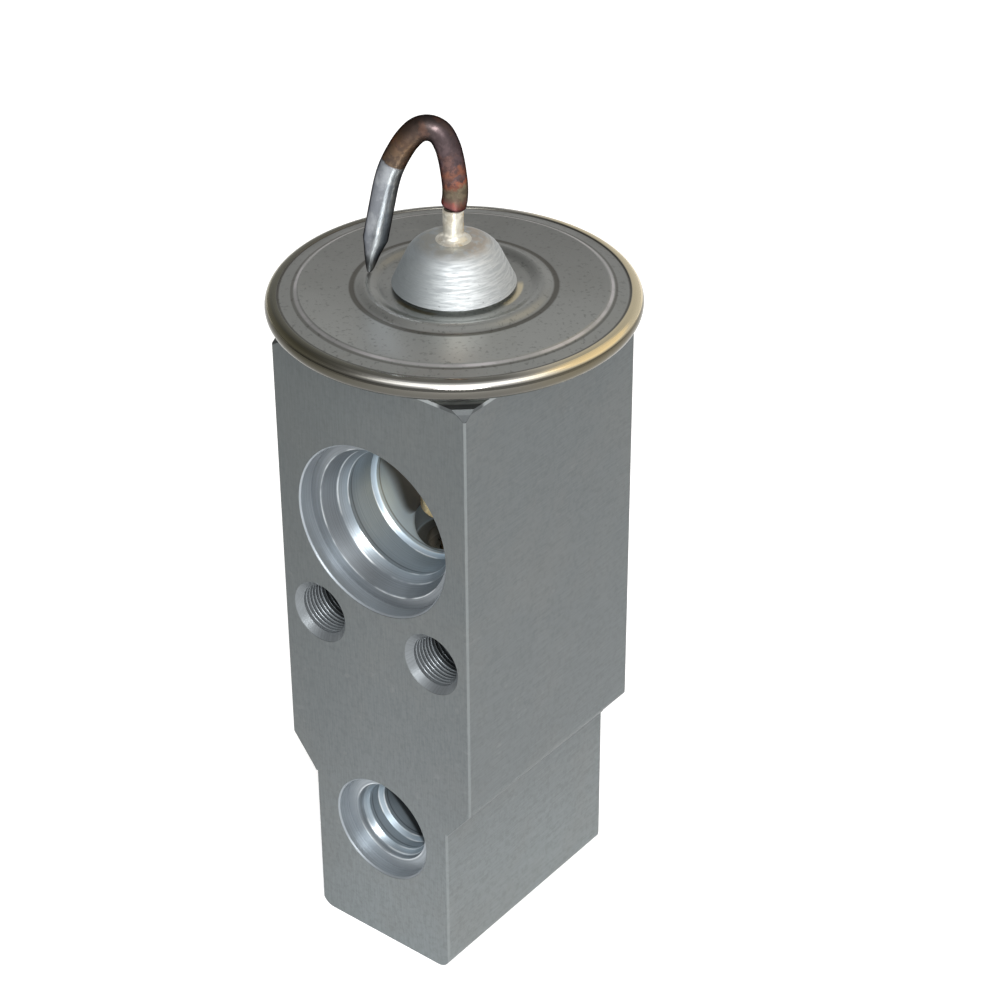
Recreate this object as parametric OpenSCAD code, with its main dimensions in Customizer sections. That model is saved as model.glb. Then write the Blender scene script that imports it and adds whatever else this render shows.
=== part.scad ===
// Block-type expansion valve with a welded power head, standing on its foot.
// The power head's axis is Z, the foot stands on Z = 0 and the front ports face -Y.

/* [Block] */
// Width of the block, from side to side
body_w = 26.2; // [26:0.1:28]
// Depth of the block, from the front port face to the back one
body_d = 29.2; // [28.4:0.1:32]
// Height of the block
body_h = 76.4; // [75.8:0.1:80]
// Width of the narrower foot
foot_w = 19.4; // [18:0.1:21]
// Height at which the block starts to narrow
shoulder_z = 24.5; // [24:0.1:25.5]
// Height of the sloping shoulder
shoulder_drop = 4.5; // [3.5:0.1:5.5]
// Rounding where the shoulder starts and ends
shoulder_r = 1.5; // [0.8:0.1:2]
// Rounding of the foot's two lower edges
foot_r = 1.7; // [1:0.1:2.2]
// Chamfer on the upright edges and on the port mouths
edge_break = 0.2; // [0.1:0.05:0.3]
// How far the block's top corners are turned down at 45 degrees
corner_cut = 1.1; // [0.6:0.1:1.8]

/* [Suction ports, front and back] */
// Height of the suction passage
suction_z = 56.9; // [56.6:0.1:57.3]
// Radius of the mouth that takes the pipe's flange
suction_mouth_r = 10.1; // [9.6:0.1:10.4]
// Depth of that mouth
suction_mouth_depth = 2; // [1.6:0.1:2.4]
// Radius of the ring-seal seat where it opens into the mouth
suction_seal_r = 8.85; // [8.6:0.05:9.2]
// How much the ring-seal seat narrows inwards
suction_seal_taper = 0.75; // [0.5:0.05:0.9]
// Depth of the ring-seal seat, from the face
suction_seal_depth = 3.9; // [3.5:0.1:4.3]
// Radius of the socket for the pipe's nose
suction_nose_r = 7.45; // [7.2:0.05:7.6]
// Depth of that socket, from the face
suction_nose_depth = 8.7; // [8:0.1:9.4]
// Radius of the passage between the two suction ports
suction_bore_r = 7; // [6.6:0.1:7.1]

/* [Liquid port, front] */
// Height of the liquid port
liquid_z = 16.1; // [15.6:0.1:16.4]
// Radius of its mouth
liquid_mouth_r = 6.45; // [6.1:0.05:6.7]
// Depth of its mouth
liquid_mouth_depth = 1.7; // [1.3:0.1:2]
// Radius of its ring-seal seat where it opens into the mouth
liquid_seal_r = 5; // [4.9:0.05:5.3]
// How much that seat narrows inwards
liquid_seal_taper = 0.2; // [0.1:0.05:0.3]
// Depth of its ring-seal seat, from the face
liquid_seal_depth = 2.4; // [2.1:0.1:2.8]
// Radius of its pipe socket
liquid_nose_r = 4.4; // [4.1:0.05:4.5]
// Depth of its pipe socket, from the face
liquid_nose_depth = 4.6; // [4.3:0.1:5.2]
// Radius of the hole from the socket to the spring chamber
liquid_bore_r = 3.9; // [3.2:0.1:4]

/* [Outlet port, back] */
// Height of the outlet port
outlet_z = 30.4; // [30.2:0.1:30.8]
// Radius of its mouth
outlet_mouth_r = 7.3; // [7:0.05:7.5]
// Depth of its mouth
outlet_mouth_depth = 1.8; // [1.4:0.1:2.2]
// Radius of its ring-seal seat where it opens into the mouth
outlet_seal_r = 6.3; // [6.1:0.05:6.6]
// How much that seat narrows inwards
outlet_seal_taper = 0.4; // [0.2:0.05:0.6]
// Depth of its ring-seal seat, from the face
outlet_seal_depth = 3.2; // [2.8:0.1:3.6]
// Radius of its pipe socket
outlet_nose_r = 5.3; // [5:0.05:5.4]
// Depth of its pipe socket, from the face
outlet_nose_depth = 6.6; // [6:0.1:7.4]
// Radius of the hole from the socket to the chamber above the orifice
outlet_bore_r = 3.6; // [3:0.1:3.8]

/* [Bolt holes] */
// Height of the two bolt holes
bolt_z = 43.1; // [42.9:0.1:43.3]
// Distance between their centres
bolt_spacing = 15.9; // [15:0.1:16.2]
// Radius of the threaded hole
bolt_r = 3.0; // [2.5:0.1:3.1]
// Chamfer at their mouths
bolt_chamfer = 0.74; // [0.4:0.02:0.8]

/* [Power head] */
// Outer radius of the round power head
head_r = 20; // [19.6:0.1:21]
// Radius of its rolled rim
rim_r = 1.15; // [1.1:0.05:1.25]
// Thickness of the cover's sheet
cover_t = 0.7; // [0.6:0.05:0.75]
// Distance of the cover's outer step from the power head's edge
step_inset = 3.4; // [3:0.1:3.8]
// Height of the outer step
step_h = 0.25; // [0.15:0.05:0.3]
// Rise of the cover from its rim to the outer step
cover_rise = 0.3; // [0.2:0.05:0.5]
// Middle radius of the ring bead round the hub
bead_r = 9.3; // [9.1:0.1:9.6]
// Half width of that bead
bead_half = 1.4; // [1.2:0.1:1.6]
// Height of that bead
bead_h = 0.5; // [0.3:0.05:0.6]
// Depth of the hub's recess below the bead's crest
recess_depth = 0.5; // [0.3:0.05:0.6]
// Thickness of the diaphragm
diaphragm_t = 0.25; // [0.2:0.01:0.3]
// Height of the diaphragm's ring waves
wave_h = 0.3; // [0.15:0.05:0.35]
// Radius of the threaded neck
neck_r = 10; // [9.8:0.05:10.1]
// Wall of the threaded neck
neck_wall = 1.9; // [1.5:0.1:2.2]
// Length of the threaded neck
neck_len = 8.6; // [7.5:0.1:8.8]
// Gap between the power head and the block's top
head_gap = 0.1; // [0.05:0.05:0.2]
// Section of the ring seal under the power head
head_seal_d = 1.4; // [1.3:0.05:1.45]

/* [Charge hub and tube] */
// Radius of the hub at its lower edge
hub_r = 6.6; // [6.4:0.1:7]
// Height of the hub above the cover's recess
hub_h = 5.4; // [5.3:0.05:5.8]
// Lean of the hub's flank, in degrees
hub_lean = 25; // [22:1:28]
// Radius of the hub's rounded shoulder
hub_round_r = 3; // [2.6:0.1:3.2]
// Height of the hub's lower edge above the cover, over its welded foot
hub_edge = 0.4; // [0.2:0.05:0.5]
// Radius of the hub's pin that passes through the cover
hub_pin_r = 2.4; // [2:0.1:3]
// Outer radius of the charge tube
tube_r = 1.35; // [1.25:0.05:1.45]
// Radius of the tube's narrowed end in the hub
tube_end_r = 0.95; // [0.85:0.05:1.1]
// How deep the tube sits in the hub
tube_seat = 3; // [2:0.1:3.6]
// Height of the solder collar round the tube's narrowed end
solder_h = 3.5; // [2.8:0.1:3.5]
// Radius of the solder collar's spread foot
solder_foot_r = 1.9; // [1.7:0.05:2.3]
// Half thickness of the tube's pinched tip
pinch_t = 0.3; // [0.25:0.05:0.4]
// Direction that the tube bends over to, turned from -X towards -Y
tube_turn = 26; // [0:1:60]

/* [Rod and pin] */
// Radius of the sensing rod across the suction passage
rod_r = 4.1; // [3.6:0.1:4.4]
// Radius of the rod's lower end, in its guide
rod_end_r = 1.9; // [1.7:0.05:2.1]
// Radius of the push pin
pin_r = 1.1; // [0.8:0.05:1.2]
// Section of the rod's ring seal
rod_seal_d = 1.5; // [1.3:0.05:1.6]
// Thickness of the retainer above that seal
retainer_t = 0.6; // [0.4:0.1:1]
// Depth of the pocket for the seal and its retainer
pocket_depth = 3.4; // [3:0.1:3.8]
// Radius of the stop pad under the diaphragm
stop_r = 11; // [10.4:0.1:12]
// Thickness of the stop pad
stop_t = 0.9; // [0.7:0.05:1]
// Radius of the pad's hub that takes the rod
stop_hub_r = 5.5; // [5:0.1:6.5]
// How deep the rod sits in the pad
rod_seat = 3.5; // [2.5:0.1:4]
// Travel of the rod and ball from shut to fully open
travel = 0.9; // [0.6:0.05:0.95]

/* [Orifice and ball] */
// Height of the orifice ring's lower face, at the top of the spring chamber
orifice_z = 22; // [21.8:0.1:22.1]
// Radius of the orifice ring
seat_r = 4.6; // [4.3:0.1:5]
// Height of the orifice ring
seat_h = 4; // [3.6:0.1:4.1]
// Radius of the orifice
orifice_r = 1.9; // [1.7:0.05:2]
// Radius of the ball
ball_r = 3; // [2.9:0.05:3.05]
// Radius of the chamber above the orifice
upper_chamber_r = 3.9; // [3.7:0.05:4.1]
// Height of that chamber's ceiling
upper_chamber_top = 36; // [35.4:0.1:37]

/* [Spring chamber] */
// Radius of the spring chamber
chamber_r = 6.5; // [6.4:0.05:6.6]
// Radius of the thread below it that takes the adjusting screw
screw_r = 7; // [6.9:0.05:7.3]
// Length of that thread, from the foot up
thread_len = 5.2; // [5.1:0.05:5.3]
// Length of the adjusting screw's thread
screw_thread_len = 2.9; // [2.4:0.1:3]
// Depth of the screw's lower face inside the foot
screw_recess = 1.2; // [1.1:0.05:1.25]
// Height of the screw's plain collar with the seal groove
screw_collar = 4; // [3.8:0.1:4.2]
// Section of the screw's ring seal
screw_seal_d = 1.2; // [1:0.05:1.3]
// Width across the flats of the hex socket
socket_af = 5; // [4:0.5:6]
// Depth of the hex socket
socket_depth = 4; // [3:0.1:4.6]
// Middle radius of the coil spring
spring_r = 4.25; // [4.1:0.05:4.4]
// Wire of the coil spring
spring_wire = 1.2; // [1:0.05:1.3]
// Turns of the coil spring
spring_turns = 5; // [4:0.5:5]
// Radius of the ball carrier's flange
carrier_flange_r = 5.2; // [5.05:0.05:5.3]
// Thickness of that flange
carrier_flange_t = 1; // [0.8:0.1:1.1]
// Radius of the carrier's cup
carrier_cup_r = 3.4; // [3.25:0.05:3.6]
// Radius of the carrier's pilot in the spring
carrier_pilot_r = 2.9; // [2.5:0.05:3]
// Length of that pilot
carrier_pilot_len = 2.4; // [1.8:0.1:2.8]
// Thickness of the steady ring's sheet
steady_t = 0.3; // [0.2:0.05:0.35]
// Width of the steady ring's legs
steady_leg_w = 2; // [1.5:0.1:2.5]
// Length of the steady ring's legs
steady_leg = 3; // [2:0.1:3.4]

/* [Hidden] */
$fn = 64;

// Fits: a running fit, a thread's play, a seal's play and a face that just clears
run_gap = 0.05;
seal_gap = 0.02;
face_gap = 0.05;
// How far a cutter runs past the face that it opens
past = 1;

// Heights of the power head: the lip's underside stands clear of the block's top
head_z = body_h + head_gap;
lip_rise = 1.35;
flange_t = 0.65;
lip_top = head_z + lip_rise + cover_t;
flange_top = lip_top + flange_t;
clamp_top = flange_top + diaphragm_t;
rim_z = head_z + lip_rise + rim_r;
rim_mid_r = head_r - rim_r;
lip_r = rim_mid_r - 1.25;

// Pressed line of the cover: crease beside the rim, outer step, bead and recess
crease_drop = 0.1;
crease_r = rim_mid_r - 0.25;
crease_z = rim_z + rim_r - crease_drop;
step_run = 0.4;
step_r = head_r - step_inset;
step_top = crease_z + cover_rise + step_h;
recess_r = bead_r - bead_half;
recess_z = step_top + bead_h - recess_depth;
flange_in_r = step_r + 0.1;
dish_slope = 2.4;
dish_r = flange_in_r - dish_slope;

// The well above the suction passage, the sump in its floor and the seal pocket below
well_r = 7.3;
well_floor = suction_z + 2;
passage_floor = suction_z - suction_bore_r;
sump_r = 4.8;
well_z = passage_floor - 1.3;
pocket_r = rod_end_r + seal_gap + rod_seal_d + seal_gap;
pocket_z = well_z - pocket_depth;
neck_in_r = neck_r - neck_wall;
neck_z = head_z - neck_len;
thread_runout = 0.4;

// Closed position of the stem: the ball clears its 45 degree seat by seal_gap
seat_bevel = 0.7;
ball_z = orifice_z + orifice_r + seat_bevel - sqrt(2) * (ball_r + seal_gap);
pin_z = ball_z + ball_r;
rod_z = upper_chamber_top + travel + 0.3;
pin_seat = 2;
rod_step_z = passage_floor + travel + 0.8;
rod_cone = 1.7;
stop_z = flange_top - stop_t;
stop_hub_h = 4.5;
stop_hub_z = stop_z - stop_hub_h;
rod_top = stop_hub_z + rod_seat;
dish_z = stop_z - travel - face_gap;

// Ball carrier, spring and adjusting screw
carrier_flange_z = ball_z - ball_r - 0.75;
carrier_cup_h = 2.3;
ball_seat_z = ball_z - sqrt(2) * ball_r;
screw_top = screw_recess + screw_thread_len + screw_collar;
screw_boss_h = 1.5;
collar_wall = 0.6;
groove_z = screw_top - collar_wall - screw_seal_d;
groove_r = chamber_r - seal_gap - screw_seal_d - seal_gap;

// The charge tube's route in its own plane: distance from the axis, height over the hub
hub_top = recess_z + hub_h;
route = [[0, 3.7], [-0.2, 4.6], [-0.27, 5.8], [-0.2, 6.9], [-0.05, 8.1], [0.15, 9.3],
    [0.5, 10.6], [1.2, 11.9], [2.3, 12.4], [3.5, 12.1], [4.6, 11], [5.6, 9.4],
    [6.5, 7.5], [7.05, 5.7], [7.5, 3.6], [7.9, 1.6], [8.3, -0.4], [8.7, -2.4], [9.1, -4.6]];
tube_sides = 16;
tube_steps = 3;
// Stations on the route: where the tube has its full size, and where it is pinched flat
swell_end = 0.5;
pinch_start = 16.2;
pinch_end = 18;
snip_start = 17;

// Unit vector along v
function unit(v) = v / norm(v);

// Points of the arc of radius r that rounds corner b between points a and c
function corner(a, b, c, r, n = 8) =
    let (u = unit(a - b), v = unit(c - b), half = acos(u * v) / 2,
        mid = b + unit(u + v) * r / sin(half),
        p = b + u * r / tan(half) - mid, q = b + v * r / tan(half) - mid,
        from = atan2(p.y, p.x), swing = atan2(q.y, q.x) - from,
        turn = swing > 180 ? swing - 360 : swing < -180 ? swing + 360 : swing)
    [for (i = [0 : n]) mid + r * [cos(from + turn * i / n), sin(from + turn * i / n)]];

// Points of an arc round a centre, from one angle to another
function arc(mid, r, from, to, n = 12) =
    [for (i = [0 : n]) mid + r * [cos(from + (to - from) * i / n), sin(from + (to - from) * i / n)]];

// Smooth curve through the points p at station s, and its direction
function spline(p, s) =
    let (k = min(floor(s), len(p) - 2), t = s - k,
        a = p[max(k - 1, 0)], b = p[k], c = p[k + 1], d = p[min(k + 2, len(p) - 1)])
    b + (t * (c - a) + t * t * (2 * a - 5 * b + 4 * c - d) + t * t * t * (3 * b - a - 3 * c + d)) / 2;
function heading(p, s) =
    let (h = 0.05, low = max(s - h, 0), high = min(s + h, len(p) - 1))
    unit(spline(p, high) - spline(p, low));

// Smooth step from 0 to 1
function ease(t) = let (c = min(max(t, 0), 1)) c * c * (3 - 2 * c);

// Closed skin over rings of equally many points
module skin(rings) {
    n = len(rings);
    m = len(rings[0]);
    polyhedron(
        points = [for (ring = rings) each ring],
        faces = concat(
            [[for (j = [0 : m - 1]) j]],
            [for (i = [0 : n - 2]) for (j = [0 : m - 1])
                each [[i * m + j, (i + 1) * m + j, (i + 1) * m + (j + 1) % m],
                    [i * m + j, (i + 1) * m + (j + 1) % m, i * m + (j + 1) % m]]],
            [[for (j = [m - 1 : -1 : 0]) (n - 1) * m + j]]));
}

// Outline of the block seen from the front
module block_outline() {
    shoulder_low = shoulder_z - shoulder_drop;
    side = [[0, 0], [foot_w / 2, 0], [foot_w / 2, shoulder_low],
        [body_w / 2, shoulder_z], [body_w / 2, body_h]];
    right = concat(
        corner(side[0], side[1], side[2], foot_r),
        corner(side[1], side[2], side[3], shoulder_r),
        corner(side[2], side[3], side[4], shoulder_r),
        [side[4]]);
    left = [for (i = [len(right) - 1 : -1 : 0]) [-right[i].x, right[i].y]];
    polygon(concat(right, left));
}

// Upright bar of the given width with its edges broken
module bar(w, z, h) {
    x = w / 2;
    y = body_d / 2;
    e = edge_break;
    translate([0, 0, z])
        linear_extrude(h)
            polygon([[x, e - y], [x, y - e], [x - e, y], [e - x, y],
                [-x, y - e], [-x, e - y], [e - x, -y], [x - e, -y]]);
}

// Block with its foot, its shoulders and its turned top corners
module block() {
    shoulder_low = shoulder_z - shoulder_drop;
    corner_r = norm([body_w, body_d]) / 2;
    turned_r = corner_r - corner_cut;
    reach = 4;
    intersection() {
        rotate([90, 0, 0])
            linear_extrude(body_d, center = true)
                block_outline();
        union() {
            bar(foot_w, 0, shoulder_low);
            bar(body_w, shoulder_low, body_h - shoulder_low);
        }
        rotate_extrude()
            polygon([[0, 0], [turned_r + reach, 0], [turned_r + reach, body_h - reach],
                [turned_r, body_h], [0, body_h]]);
    }
}

// Stepped port that opens at z = 0 and runs into +z: mouth, seal seat, nose socket, bore.
// Each step is given as its radius and depth, the tapered seal seat also by its taper.
module port(mouth, seal, nose, bore_r, bore_end) {
    seat_end = seal[0] - seal[2];
    nose_start = seal[1] + 1.6 * (seat_end - nose[0]);
    bevel = nose[0] - bore_r;
    rotate_extrude()
        polygon([[0, -past], [mouth[0] + edge_break, -past], [mouth[0] + edge_break, 0],
            [mouth[0], edge_break], [mouth[0], mouth[1]],
            [seal[0], mouth[1]], [seat_end, seal[1]], [nose[0], nose_start],
            [nose[0], nose[1]], [bore_r, nose[1] + bevel], [bore_r, bore_end], [0, bore_end]]);
}

module from_front(z) {
    translate([0, -body_d / 2, z])
        rotate([-90, 0, 0])
            children();
}

module from_back(z) {
    translate([0, body_d / 2, z])
        rotate([90, 0, 0])
            children();
}

module suction_port() {
    port([suction_mouth_r, suction_mouth_depth],
        [suction_seal_r, suction_seal_depth, suction_seal_taper],
        [suction_nose_r, suction_nose_depth], suction_bore_r, body_d / 2 + past);
}

module bolt_hole() {
    rotate_extrude()
        polygon([[0, -past], [bolt_r + bolt_chamfer, -past], [bolt_r + bolt_chamfer, 0],
            [bolt_r, bolt_chamfer], [bolt_r, body_d - bolt_chamfer],
            [bolt_r + bolt_chamfer, body_d], [bolt_r + bolt_chamfer, body_d + past],
            [0, body_d + past]]);
}

// Everything bored from the top: seal groove, neck thread, well, sump, pocket and guide
module top_bores() {
    groove_r = neck_r + head_seal_d + run_gap;
    thread_r = neck_r + run_gap;
    guide_r = rod_end_r + run_gap;
    groove_z = head_z - head_seal_d;
    thread_z = neck_z - thread_runout;
    rotate_extrude()
        polygon([[0, body_h + past], [groove_r, body_h + past], [groove_r, groove_z],
            [thread_r, groove_z], [thread_r, thread_z], [well_r, thread_z],
            [well_r, well_floor], [sump_r, well_floor], [sump_r, well_z],
            [pocket_r, well_z], [pocket_r, pocket_z],
            [guide_r, pocket_z], [guide_r, upper_chamber_top - past],
            [0, upper_chamber_top - past]]);
}

// Everything bored from the foot: screw thread, spring chamber, ring pocket, chamber
module foot_bores() {
    lead = 0.5;
    rotate_extrude()
        polygon([[0, -past], [screw_r + lead, -past], [screw_r + lead, 0], [screw_r, lead],
            [screw_r, thread_len], [chamber_r, thread_len], [chamber_r, orifice_z],
            [seat_r, orifice_z], [seat_r, orifice_z + seat_h],
            [upper_chamber_r, orifice_z + seat_h], [upper_chamber_r, upper_chamber_top],
            [0, upper_chamber_top]]);
}

module valve_body() {
    color([0.6, 0.62, 0.62])
        difference() {
            block();
            from_front(suction_z) suction_port();
            from_back(suction_z) suction_port();
            from_front(liquid_z)
                port([liquid_mouth_r, liquid_mouth_depth],
                    [liquid_seal_r, liquid_seal_depth, liquid_seal_taper],
                    [liquid_nose_r, liquid_nose_depth], liquid_bore_r, body_d / 2);
            from_back(outlet_z)
                port([outlet_mouth_r, outlet_mouth_depth],
                    [outlet_seal_r, outlet_seal_depth, outlet_seal_taper],
                    [outlet_nose_r, outlet_nose_depth], outlet_bore_r, body_d / 2);
            for (side = [-1, 1])
                translate([side * bolt_spacing / 2, 0, 0])
                    from_front(bolt_z) bolt_hole();
            top_bores();
            foot_bores();
        }
}

// Height of the cover's upper face at each bend, from the crease inwards
function cover_line() = concat(
    [[crease_r, crease_z], [step_r + step_run, crease_z + cover_rise],
        [step_r - step_run / 2, step_top], [bead_r + bead_half, step_top]],
    [for (i = [1 : 11]) bead_point(i / 12)],
    [[recess_r, recess_z], [hub_pin_r + run_gap, recess_z]]);
function bead_point(t) =
    [bead_r + bead_half * (1 - 2 * t),
        step_top + bead_h * ease(2 * t) - recess_depth * ease(2 * t - 1)];

// Cover: pressed rings, and an edge rolled round the diaphragm and the base's flange
module power_head_cover() {
    top = cover_line();
    under = [for (i = [len(top) - 1 : -1 : 0])
        [top[i].x, max(top[i].y - cover_t, clamp_top)]];
    roll_r = (clamp_top - lip_top) / 2;
    roll_z = (clamp_top + lip_top) / 2;
    color([0.62, 0.6, 0.55])
        rotate_extrude()
            polygon(concat(
                top, under,
                arc([rim_mid_r, roll_z], roll_r, 90, -90),
                [[lip_r, lip_top], [lip_r, lip_top - cover_t]],
                arc([rim_mid_r, rim_z], rim_r, -90, 100, 24)));
}

// Base: flange, dish and threaded neck in one piece
module power_head_base() {
    lead = 0.6;
    color([0.6, 0.58, 0.53])
        rotate_extrude()
            polygon([[neck_in_r, neck_z], [neck_r - lead, neck_z], [neck_r, neck_z + lead],
                [neck_r, head_z], [dish_r, head_z], [flange_in_r, lip_top],
                [rim_mid_r, lip_top], [rim_mid_r, flange_top],
                [flange_in_r - 0.3, flange_top], [dish_r - 0.3, dish_z], [neck_in_r, dish_z]]);
}

// Diaphragm: flat in the middle and at its clamped edge, with ring waves between
module diaphragm() {
    waves = 2;
    steps = 24;
    inner = stop_r + 0.4;
    outer = flange_in_r - 0.2;
    low = flange_top;
    line = concat([[0, low]],
        [for (i = [0 : steps]) [inner + (outer - inner) * i / steps,
            low + wave_h * (1 - cos(360 * waves * i / steps)) / 2]],
        [[rim_mid_r, low]]);
    color([0.75, 0.75, 0.72])
        rotate_extrude()
            polygon(concat(line,
                [for (i = [len(line) - 1 : -1 : 0]) line[i] + [0, diaphragm_t]]));
}

// Stop pad: disc under the diaphragm, and a hub bored for the rod's head
module diaphragm_stop() {
    socket_r = rod_r + run_gap;
    bevel = 0.3;
    color([0.7, 0.7, 0.7])
        rotate_extrude()
            polygon([[0, rod_top], [socket_r, rod_top], [socket_r, stop_hub_z],
                [stop_hub_r - bevel, stop_hub_z], [stop_hub_r, stop_hub_z + bevel],
                [stop_hub_r, stop_z], [stop_r, stop_z], [stop_r, stop_z + stop_t],
                [0, stop_z + stop_t]]);
}

// Ring of round section
module ring_seal(inner_r, d, z) {
    rotate_extrude()
        translate([inner_r + d / 2, z + d / 2])
            circle(d = d, $fn = 48);
}

module power_head_seal() {
    color([0.1, 0.1, 0.1])
        ring_seal(neck_r + run_gap / 2, head_seal_d, head_z - head_seal_d);
}

// Hub: steel boss with a leaning flank on a narrower welded foot, drilled for the charge tube
module charge_hub() {
    foot_r = hub_r - 0.7;
    bevel = 0.05;
    pin_len = cover_t + 0.1;
    bore_r = 0.6;
    end_r = tube_end_r + run_gap;
    edge_z = recess_z + hub_edge;
    mid_z = hub_top - hub_round_r;
    mid = [hub_r - (mid_z - edge_z - bevel) * tan(hub_lean) - hub_round_r / cos(hub_lean), mid_z];
    color([0.72, 0.73, 0.74])
        rotate_extrude()
            polygon(concat(
                [[bore_r, recess_z - pin_len], [hub_pin_r, recess_z - pin_len],
                    [hub_pin_r, recess_z], [foot_r, recess_z], [foot_r, edge_z],
                    [hub_r - bevel, edge_z], [hub_r, edge_z + bevel]],
                arc(mid, hub_round_r, hub_lean, 90, 16),
                [[end_r, hub_top], [end_r, hub_top - tube_seat], [bore_r, hub_top - tube_seat]]));
}

// Solder: fillet on the hub's top and a thin collar up the tube's narrowed end
module tube_solder() {
    steps = 6;
    lip = 0.1;
    collar_r = tube_end_r + 0.15;
    color([0.8, 0.78, 0.7])
        rotate_extrude()
            translate([0, hub_top])
                polygon(concat(
                    [[tube_end_r, solder_h], [tube_end_r, 0], [solder_foot_r, 0]],
                    [for (i = [1 : steps])
                        let (t = i / steps)
                        [collar_r + (solder_foot_r - collar_r) * pow(1 - t, 3),
                            solder_h * 0.3 * t]],
                    [[collar_r, solder_h - lip], [collar_r - lip, solder_h]]));
}

// Ring of the tube's skin: round along most of the route, pinched flat and snipped at the end
function tube_ring(s) =
    let (p = spline(route, s), h = heading(route, s),
        swell = tube_end_r + 0.05 + (tube_r - tube_end_r - 0.05) * ease(s / swell_end),
        pinch = min(max((s - pinch_start) / (pinch_end - pinch_start), 0), 1),
        thin = swell + (pinch_t - swell) * pinch,
        snip = ease((s - snip_start) / (len(route) - 1 - snip_start)),
        wide = swell * (1 + 0.15 * pinch) * (1 - 0.6 * snip))
    [for (j = [0 : tube_sides - 1])
        let (a = -360 * j / tube_sides)
        [p.x - h.y * thin * cos(a), wide * sin(a), hub_top + p.y + h.x * thin * cos(a)]];

// Charge tube: narrowed end in the hub, then bent over and pinched shut
module charge_tube() {
    stations = (len(route) - 1) * tube_steps;
    color([0.45, 0.28, 0.22]) {
        translate([0, 0, hub_top - tube_seat])
            cylinder(r = tube_end_r, h = tube_seat + route[0].y + 0.2);
        rotate([0, 0, 180 + tube_turn])
            skin([for (i = [0 : stations]) tube_ring(i / tube_steps)]);
    }
}

// Rod: thick where it crosses the suction passage, thin in its guide
module sensing_rod() {
    bevel = 0.4;
    pin_hole_r = pin_r + run_gap;
    color([0.72, 0.56, 0.3])
        rotate_extrude()
            polygon([[0, rod_top], [rod_r - bevel, rod_top], [rod_r, rod_top - bevel],
                [rod_r, rod_step_z + rod_cone], [rod_end_r, rod_step_z], [rod_end_r, rod_z],
                [pin_hole_r, rod_z], [pin_hole_r, rod_z + pin_seat], [0, rod_z + pin_seat]]);
}

module push_pin() {
    color([0.8, 0.8, 0.8])
        translate([0, 0, pin_z])
            cylinder(r = pin_r, h = rod_z + pin_seat - pin_z);
}

module rod_seal() {
    color([0.1, 0.1, 0.1])
        ring_seal(rod_end_r + seal_gap, rod_seal_d, pocket_z);
}

// Retainer: washer with bent-up inner tongues, pressed into the pocket over the seal
module rod_seal_retainer() {
    tongues = 6;
    slot_w = 0.5;
    hole_r = rod_end_r + 0.15;
    slot_r = (hole_r + pocket_r) / 2;
    color([0.7, 0.7, 0.68])
        translate([0, 0, pocket_z + rod_seal_d])
            difference() {
                cylinder(r = pocket_r, h = retainer_t);
                translate([0, 0, -past])
                    cylinder(r = hole_r, h = retainer_t + 2 * past);
                for (i = [0 : tongues - 1])
                    rotate([0, 0, i * 360 / tongues])
                        translate([0, -slot_w / 2, -past])
                            cube([slot_r, slot_w, retainer_t + 2 * past]);
            }
}

module orifice_seat() {
    color([0.78, 0.78, 0.76])
        rotate_extrude()
            polygon([[orifice_r + seat_bevel, orifice_z], [seat_r, orifice_z],
                [seat_r, orifice_z + seat_h], [orifice_r, orifice_z + seat_h],
                [orifice_r, orifice_z + seat_bevel]]);
}

module valve_ball() {
    color([0.82, 0.82, 0.82])
        translate([0, 0, ball_z])
            sphere(r = ball_r, $fn = 64);
}

// Carrier: cup with a conical seat, flange for the spring, pilot inside the spring
module ball_carrier() {
    cup_top = carrier_flange_z + carrier_cup_h;
    cup_floor = ball_z - ball_r - 0.15;
    color([0.7, 0.66, 0.55])
        rotate_extrude()
            polygon([[0, carrier_flange_z - carrier_pilot_len],
                [carrier_pilot_r, carrier_flange_z - carrier_pilot_len],
                [carrier_pilot_r, carrier_flange_z], [carrier_flange_r, carrier_flange_z],
                [carrier_flange_r, carrier_flange_z + carrier_flange_t],
                [carrier_cup_r, carrier_flange_z + carrier_flange_t], [carrier_cup_r, cup_top],
                [cup_top - ball_seat_z, cup_top], [cup_floor - ball_seat_z, cup_floor],
                [0, cup_floor]]);
}

// Steady ring: sheet ring on the carrier's flange with legs down the chamber's wall
module steady_ring() {
    legs = 4;
    ring_z = carrier_flange_z + carrier_flange_t;
    leg_out = chamber_r - run_gap;
    leg_r = sqrt(pow(leg_out, 2) - pow(steady_leg_w / 2, 2));
    color([0.75, 0.75, 0.75])
        translate([0, 0, ring_z])
            difference() {
                union() {
                    cylinder(r = carrier_flange_r, h = steady_t);
                    for (i = [0 : legs - 1])
                        rotate([0, 0, 45 + i * 360 / legs]) {
                            translate([0, -steady_leg_w / 2, 0])
                                cube([leg_r, steady_leg_w, steady_t]);
                            translate([leg_r - steady_t, -steady_leg_w / 2, steady_t - steady_leg])
                                cube([steady_t, steady_leg_w, steady_leg]);
                        }
                }
                translate([0, 0, -past])
                    cylinder(r = carrier_cup_r + run_gap, h = steady_t + 2 * past);
            }
}

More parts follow.
